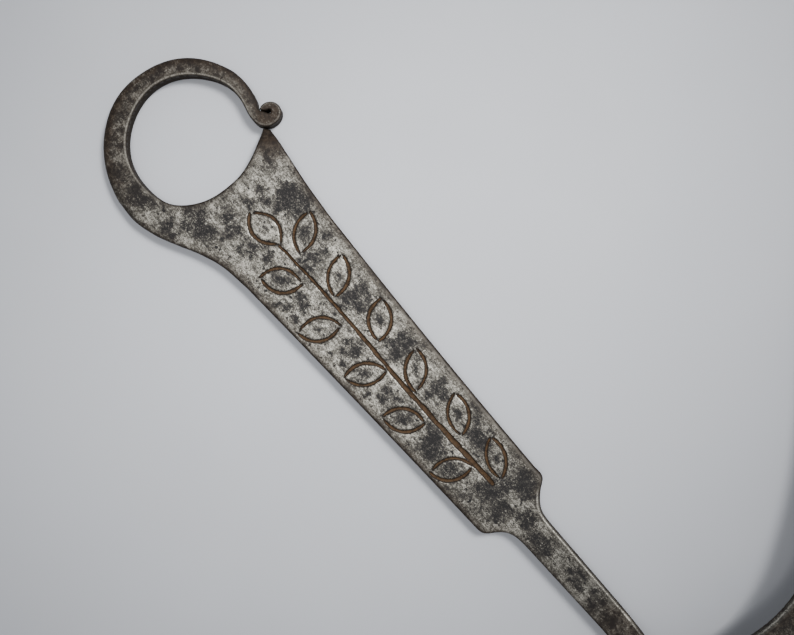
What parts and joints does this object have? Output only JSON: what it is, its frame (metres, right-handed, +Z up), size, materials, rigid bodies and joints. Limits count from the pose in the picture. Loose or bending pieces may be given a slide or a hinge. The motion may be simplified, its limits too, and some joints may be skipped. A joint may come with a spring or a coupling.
{
  "type": "hand sickle",
  "caption": "All-iron hand sickle: flat forged grip with a hanging eye, rolled tip and chiselled vine, cranked shank and a riveted hooked blade.",
  "frame": {"origin": "centre of the hanging eye, at the handle's underside", "axes": "+X along the handle from the eye to the blade, +Z up from the underside through the engraved top face, +Y to the side that the blade hooks towards"},
  "size_m": [0.2886, 0.1661, 0.0311],
  "materials": {
    "handle_iron": "worn forged iron with dark pits and rust in the cuts",
    "blade_iron": "dark forged face with a bright worn bevel",
    "rivet_iron": "hammered dark iron"
  },
  "bodies": {
    "root": {"handle": "handle_iron", "blade": "blade_iron", "rivet_1": "rivet_iron", "rivet_2": "rivet_iron", "rivet_3": "rivet_iron"}
  },
  "joints": []
}
